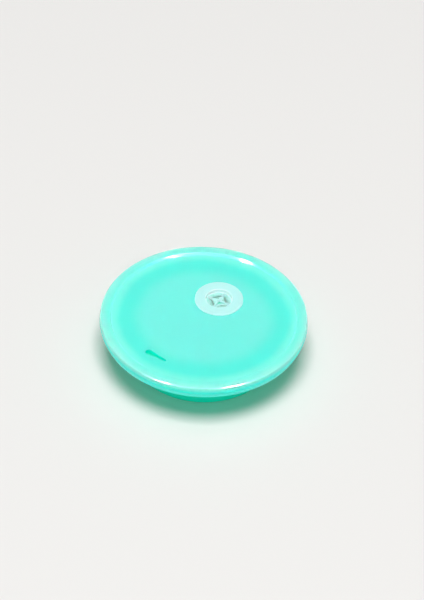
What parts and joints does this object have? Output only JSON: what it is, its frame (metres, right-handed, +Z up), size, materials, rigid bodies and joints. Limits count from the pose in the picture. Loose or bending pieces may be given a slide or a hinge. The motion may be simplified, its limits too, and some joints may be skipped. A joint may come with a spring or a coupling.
{
  "type": "collapsible travel cup",
  "caption": "Round silicone travel cup that folds flat, with a hard press-on lid, a slit straw valve and a drinking slot.",
  "frame": {"origin": "centre of the foot, on the surface the folded cup stands on", "axes": "+Z up along the axis of the cup, +Y towards the straw valve in the lid"},
  "size_m": [0.0898, 0.0898, 0.0215],
  "materials": {
    "silicone_body": "satin translucent silicone",
    "foot_disc": "satin moulded",
    "collar_plastic": "gloss moulded",
    "lid_plastic": "milky translucent satin gloss",
    "seal_silicone": "satin",
    "valve_silicone": "translucent satin"
  },
  "bodies": {
    "base": {"base_cup": "silicone_body", "base_disc": "foot_disc", "lower_fold": "silicone_body"},
    "lower_tier": {"lower_band": "silicone_body", "middle_fold": "silicone_body"},
    "upper_tier": {"upper_band": "silicone_body", "upper_fold": "silicone_body"},
    "mouth": {"mouth_band": "silicone_body", "mouth_collar": "collar_plastic"},
    "lid": {"lid_shell": "lid_plastic", "lid_seal": "seal_silicone", "straw_valve": "valve_silicone"},
    "flap_1": {"valve_flap_1": "valve_silicone"},
    "flap_2": {"valve_flap_2": "valve_silicone"},
    "flap_3": {"valve_flap_3": "valve_silicone"},
    "flap_4": {"valve_flap_4": "valve_silicone"}
  },
  "joints": [
    {"name": "lower_tier_slide", "type": "slide", "parent": "base", "child": "lower_tier", "axis": [0, 0, 1], "range_m": [0, 0.0202], "deforming": ["lower_fold"]},
    {"name": "upper_tier_slide", "type": "slide", "parent": "lower_tier", "child": "upper_tier", "axis": [0, 0, 1], "range_m": [0, 0.0152], "deforming": ["middle_fold"]},
    {"name": "mouth_slide", "type": "slide", "parent": "upper_tier", "child": "mouth", "axis": [0, 0, 1], "range_m": [0, 0.0102], "deforming": ["upper_fold"]},
    {"name": "lid_lift", "type": "slide", "parent": "mouth", "child": "lid", "axis": [0, 0, 1], "range_m": [0, 0.04]},
    {"name": "flap_1_bend", "type": "hinge", "parent": "lid", "child": "flap_1", "pos_m": [0.00256, 0.01616, 0.0187], "axis": [0.7071, -0.7071, 0], "range_deg": [0, 60], "stiffness_Nm_per_rad": 0.0005},
    {"name": "flap_2_bend", "type": "hinge", "parent": "lid", "child": "flap_2", "pos_m": [-0.00256, 0.01616, 0.0187], "axis": [0.7071, 0.7071, 0], "range_deg": [0, 60], "stiffness_Nm_per_rad": 0.0005},
    {"name": "flap_3_bend", "type": "hinge", "parent": "lid", "child": "flap_3", "pos_m": [-0.00256, 0.01104, 0.0187], "axis": [-0.7071, 0.7071, 0], "range_deg": [0, 60], "stiffness_Nm_per_rad": 0.0005},
    {"name": "flap_4_bend", "type": "hinge", "parent": "lid", "child": "flap_4", "pos_m": [0.00256, 0.01104, 0.0187], "axis": [-0.7071, -0.7071, 0], "range_deg": [0, 60], "stiffness_Nm_per_rad": 0.0005}
  ]
}
